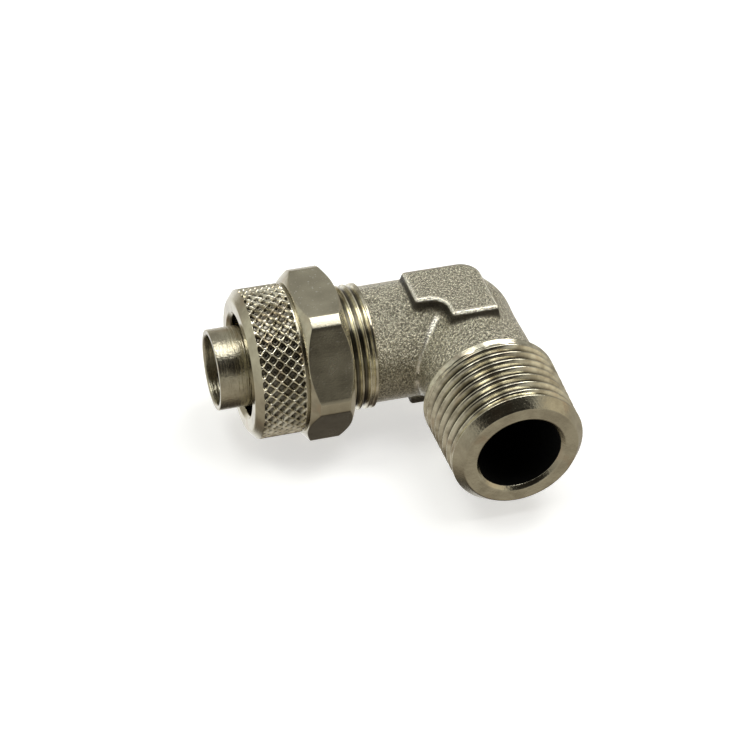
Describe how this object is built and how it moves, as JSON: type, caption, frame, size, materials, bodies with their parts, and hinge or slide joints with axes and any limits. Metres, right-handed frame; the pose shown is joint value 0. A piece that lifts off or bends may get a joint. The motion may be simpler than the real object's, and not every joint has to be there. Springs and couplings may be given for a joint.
{
  "type": "push-on elbow fitting",
  "caption": "Ninety degree push-on tube elbow with a male taper pipe thread, a plain tube spigot and a knurled hexagon lock nut.",
  "frame": {"origin": "where the centre lines of the two arms cross, which is a point on the port bore's axis", "axes": "-Y points out of the threaded arm, -X points out of the tube arm, +Z is square to both, through the upper wrench pad"},
  "size_m": [0.0394, 0.0344, 0.019],
  "materials": {
    "plated_forging": "nickel plate over forged and machined brass, matte on the forged corner and glossy on the threads",
    "plated_nut": "nickel plate over machined brass, satin flats and a glossy knurl"
  },
  "bodies": {
    "elbow": {"elbow_body": "plated_forging"},
    "nut": {"lock_nut": "plated_nut"}
  },
  "joints": [
    {"name": "nut_turn", "type": "hinge", "parent": "elbow", "child": "nut", "pos_m": [-0.0222, 0, 0], "axis": [-1, 0, 0], "continuous": true}
  ]
}
